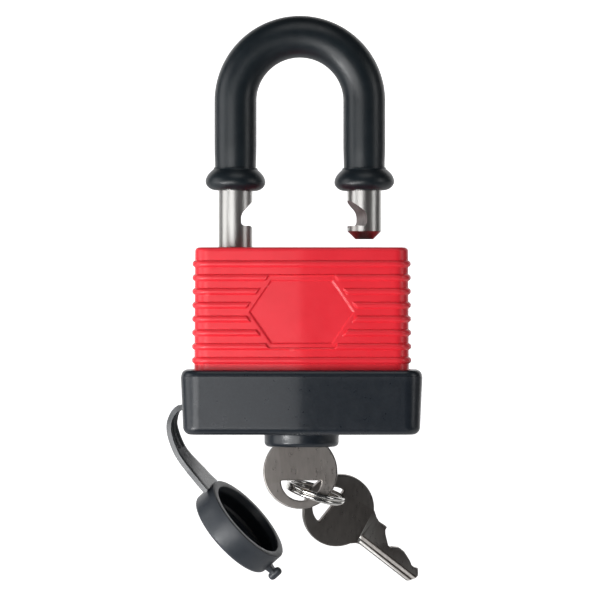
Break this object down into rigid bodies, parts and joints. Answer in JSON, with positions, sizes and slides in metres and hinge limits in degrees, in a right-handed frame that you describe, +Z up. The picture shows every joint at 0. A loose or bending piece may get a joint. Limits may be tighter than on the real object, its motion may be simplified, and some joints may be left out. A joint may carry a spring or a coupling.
{
  "type": "laminated padlock",
  "caption": "Weatherproof laminated padlock with a vinyl-covered sprung shackle, plastic body cover, hinged keyway dust cap, a key in the lock and a spare key on a split ring.",
  "frame": {"origin": "highest point inside the shackle's arch, under the vinyl sleeve, with the shackle lifted: the point where the lock hangs on a staple or hasp", "axes": "+Z up, from the key end to the crown of the shackle; +X from the heel leg to the toe leg; +Y from the front face to the back face"},
  "size_m": [0.0668, 0.041, 0.1488],
  "materials": {
    "red_plastic": "satin moulded polymer",
    "black_plastic": "fine moulded grain",
    "black_vinyl": "smooth satin vinyl",
    "chromed_steel": "polished chrome plate",
    "plate_steel": "stamped zinc-plated steel",
    "spring_steel": "bright drawn wire",
    "brass": "turned brass",
    "key_nickel": "nickel-plated, lightly worn"
  },
  "bodies": {
    "lock_body": {"jacket": "red_plastic", "base_cover": "black_plastic", "bottom_plate": "plate_steel", "cylinder_plates": "plate_steel", "clip_plate": "plate_steel", "spacer_plates": "plate_steel", "cam_plate": "plate_steel", "latch_plates": "plate_steel", "top_plate": "plate_steel", "body_rivets": "plate_steel", "cylinder_shell": "brass", "pin_cover": "brass", "driver_pins": "brass", "pin_springs": "spring_steel", "latch_spring": "spring_steel", "shackle_spring": "spring_steel"},
    "plug": {"plug": "brass", "plug_clip": "spring_steel", "key_pins": "brass", "drive_cam": "plate_steel", "lock_key": "key_nickel"},
    "heel_latch": {"heel_latch": "plate_steel"},
    "toe_latch": {"toe_latch": "plate_steel"},
    "spring_cup": {"spring_cup": "plate_steel"},
    "shackle": {"shackle": "chromed_steel", "shackle_sleeve": "black_vinyl", "shackle_seals": "black_vinyl"},
    "dust_cap": {"dust_cap": "black_plastic", "cap_strap": "black_plastic"},
    "split_ring": {"split_ring": "chromed_steel"},
    "spare_key": {"spare_key": "key_nickel"}
  },
  "joints": [
    {"name": "shackle_lift", "type": "slide", "parent": "lock_body", "child": "spring_cup", "axis": [0, 0, 1], "range_m": [-0.0145, 0], "stiffness_N_per_m": 150, "springref_m": 0.012, "deforming": ["shackle_spring"]},
    {"name": "shackle_swivel", "type": "hinge", "parent": "spring_cup", "child": "shackle", "pos_m": [-0.01685, 0, -0.0484], "axis": [0, 0, 1], "range_deg": [0, 180]},
    {"name": "key_turn", "type": "hinge", "parent": "lock_body", "child": "plug", "pos_m": [0.00045, 0, -0.0951], "axis": [0, 0, 1], "range_deg": [-90, 0]},
    {"name": "heel_latch_slide", "type": "slide", "parent": "lock_body", "child": "heel_latch", "axis": [-1, 0, 0], "range_m": [0, 0.0023], "deforming": ["latch_spring"]},
    {"name": "toe_latch_slide", "type": "slide", "parent": "lock_body", "child": "toe_latch", "axis": [1, 0, 0], "range_m": [0, 0.0023]},
    {"name": "ring_swing", "type": "hinge", "parent": "plug", "child": "split_ring", "pos_m": [0.00401, 0, -0.11437], "axis": [0.9563, 0, -0.2924], "range_deg": [-30, 8]},
    {"name": "spare_key_swing", "type": "hinge", "parent": "split_ring", "child": "spare_key", "pos_m": [0.00546, 0.01035, -0.11348], "axis": [-0.9357, 0.1719, 0.3079], "range_deg": [-40, 10]},
    {"name": "cap_swing", "type": "hinge", "parent": "lock_body", "child": "dust_cap", "pos_m": [-0.02985, 0, -0.0914], "axis": [0, -1, 0], "range_deg": [-30, 6], "stiffness_Nm_per_rad": 0.01}
  ],
  "couplings": [
    {"joint": "heel_latch_slide", "follows": "key_turn", "m_per_rad": -0.001464},
    {"joint": "toe_latch_slide", "follows": "key_turn", "m_per_rad": -0.001464}
  ]
}
